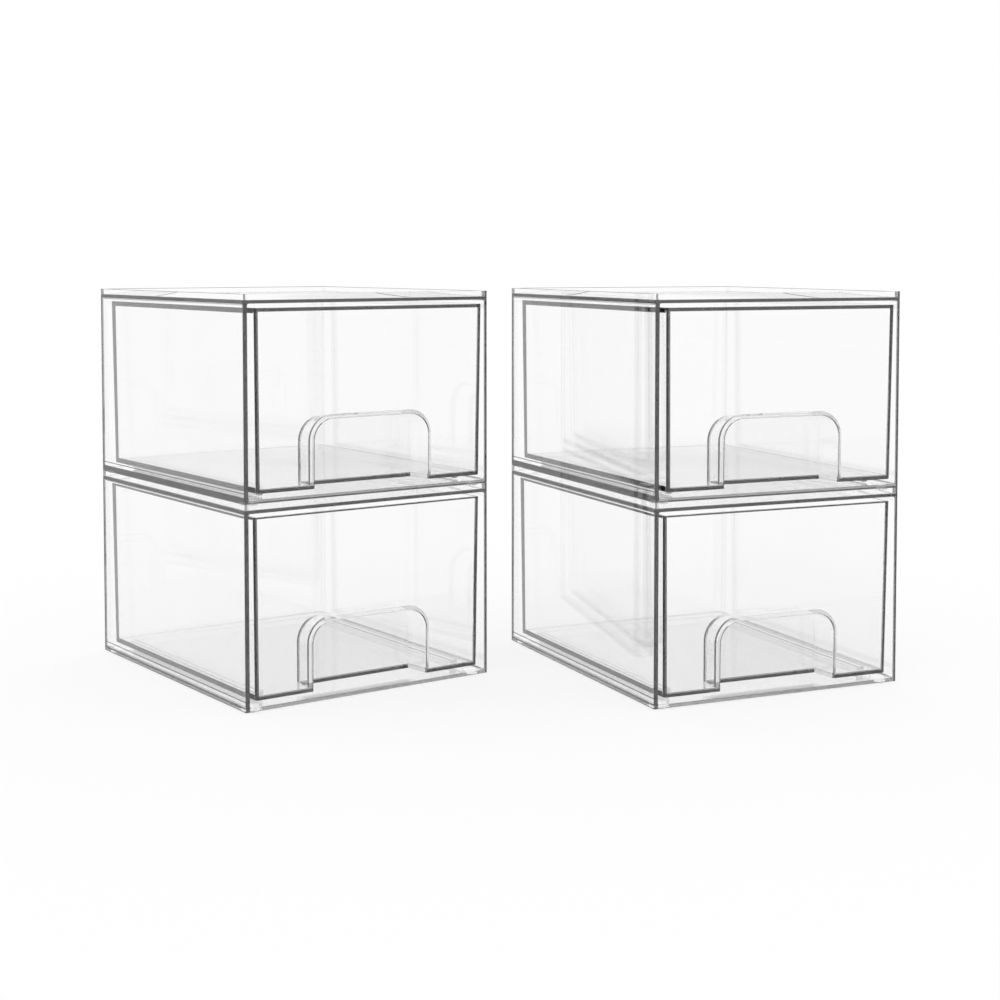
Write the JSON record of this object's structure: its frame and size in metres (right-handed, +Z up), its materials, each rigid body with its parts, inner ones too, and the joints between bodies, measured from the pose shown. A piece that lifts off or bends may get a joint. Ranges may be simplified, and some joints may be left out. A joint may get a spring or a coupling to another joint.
{
  "type": "stackable drawer box set",
  "caption": "Clear stackable drawer boxes. Each open-fronted case holds a pull-out drawer with an arched finger niche, and its rim locates the case stacked on it.",
  "frame": {"origin": "middle of the set's footprint, on the surface that the feet stand on", "axes": "+Z up, -Y the way the left stack's drawers pull out, +X from the left stack towards the right one"},
  "size_m": [0.3754, 0.3434, 0.2253],
  "materials": {
    "case_plastic": "clear, polished, injection moulded",
    "drawer_plastic": "clear, polished, injection moulded"
  },
  "bodies": {
    "left_lower_case": {"left_lower_case": "case_plastic"},
    "left_lower_drawer": {"left_lower_drawer": "drawer_plastic"},
    "left_upper_case": {"left_upper_case": "case_plastic"},
    "left_upper_drawer": {"left_upper_drawer": "drawer_plastic"},
    "right_lower_case": {"right_lower_case": "case_plastic"},
    "right_lower_drawer": {"right_lower_drawer": "drawer_plastic"},
    "right_upper_case": {"right_upper_case": "case_plastic"},
    "right_upper_drawer": {"right_upper_drawer": "drawer_plastic"}
  },
  "joints": [
    {"name": "left_lower_drawer_slide", "type": "slide", "parent": "left_lower_case", "child": "left_lower_drawer", "axis": [0, -1, 0], "range_m": [0, 0.15]},
    {"name": "left_upper_lift", "type": "slide", "parent": "left_lower_case", "child": "left_upper_case", "axis": [0, 0, 1], "range_m": [0, 0.06]},
    {"name": "left_upper_drawer_slide", "type": "slide", "parent": "left_upper_case", "child": "left_upper_drawer", "axis": [0, -1, 0], "range_m": [-0.0026, 0.1474]},
    {"name": "right_stack_move", "type": "slide", "parent": "left_lower_case", "child": "right_lower_case", "axis": [1, 0, 0], "range_m": [0, 0.1]},
    {"name": "right_lower_drawer_slide", "type": "slide", "parent": "right_lower_case", "child": "right_lower_drawer", "axis": [-0.2079, -0.9781, 0], "range_m": [0, 0.15]},
    {"name": "right_upper_lift", "type": "slide", "parent": "right_lower_case", "child": "right_upper_case", "axis": [0, 0, 1], "range_m": [0, 0.06]},
    {"name": "right_upper_drawer_slide", "type": "slide", "parent": "right_upper_case", "child": "right_upper_drawer", "axis": [-0.2079, -0.9781, 0], "range_m": [-0.0026, 0.1474]}
  ]
}
